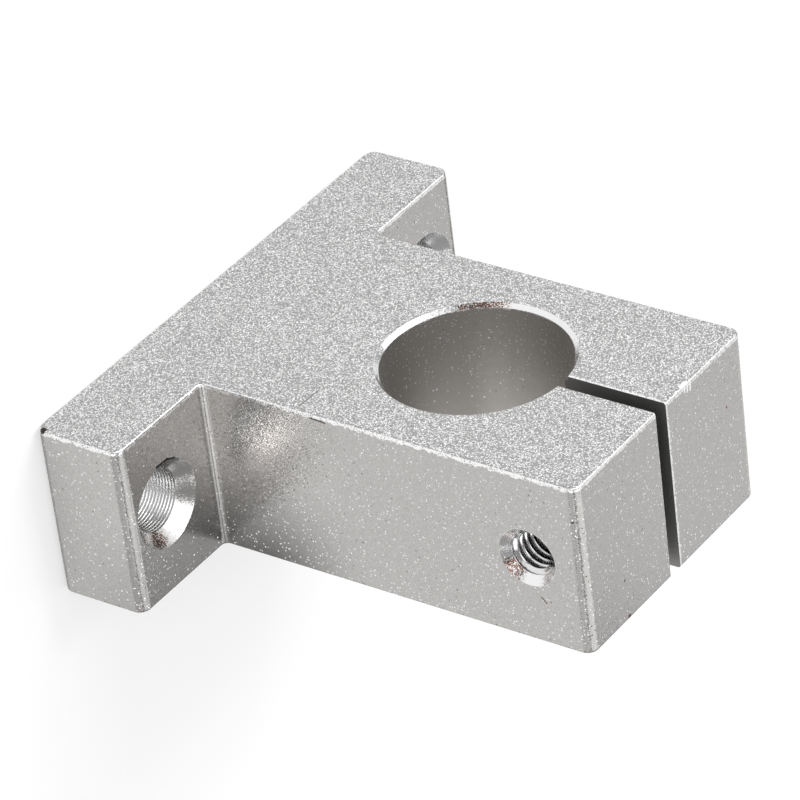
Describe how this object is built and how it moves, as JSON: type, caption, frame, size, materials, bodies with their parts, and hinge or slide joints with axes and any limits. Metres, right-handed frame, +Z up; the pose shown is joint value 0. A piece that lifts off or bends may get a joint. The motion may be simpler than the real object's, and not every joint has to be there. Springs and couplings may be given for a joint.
{
  "type": "shaft support block",
  "caption": "T-shaped aluminium support block that stands on its foot and clamps a round linear shaft, closed by one cap screw across a slit.",
  "frame": {"origin": "middle of the foot's underside, where the block meets what it is bolted to", "axes": "+X across the foot, towards the tapped jaw; +Y along the shaft; +Z up the leg"},
  "size_m": [0.048, 0.016, 0.0445],
  "materials": {
    "blasted_aluminium": "extruded and bead-blasted, clear anodised, with machined holes",
    "black_oxide_steel": "black oxide"
  },
  "bodies": {
    "root": {"support_block": "blasted_aluminium", "clamp_screw": "black_oxide_steel"}
  },
  "joints": []
}
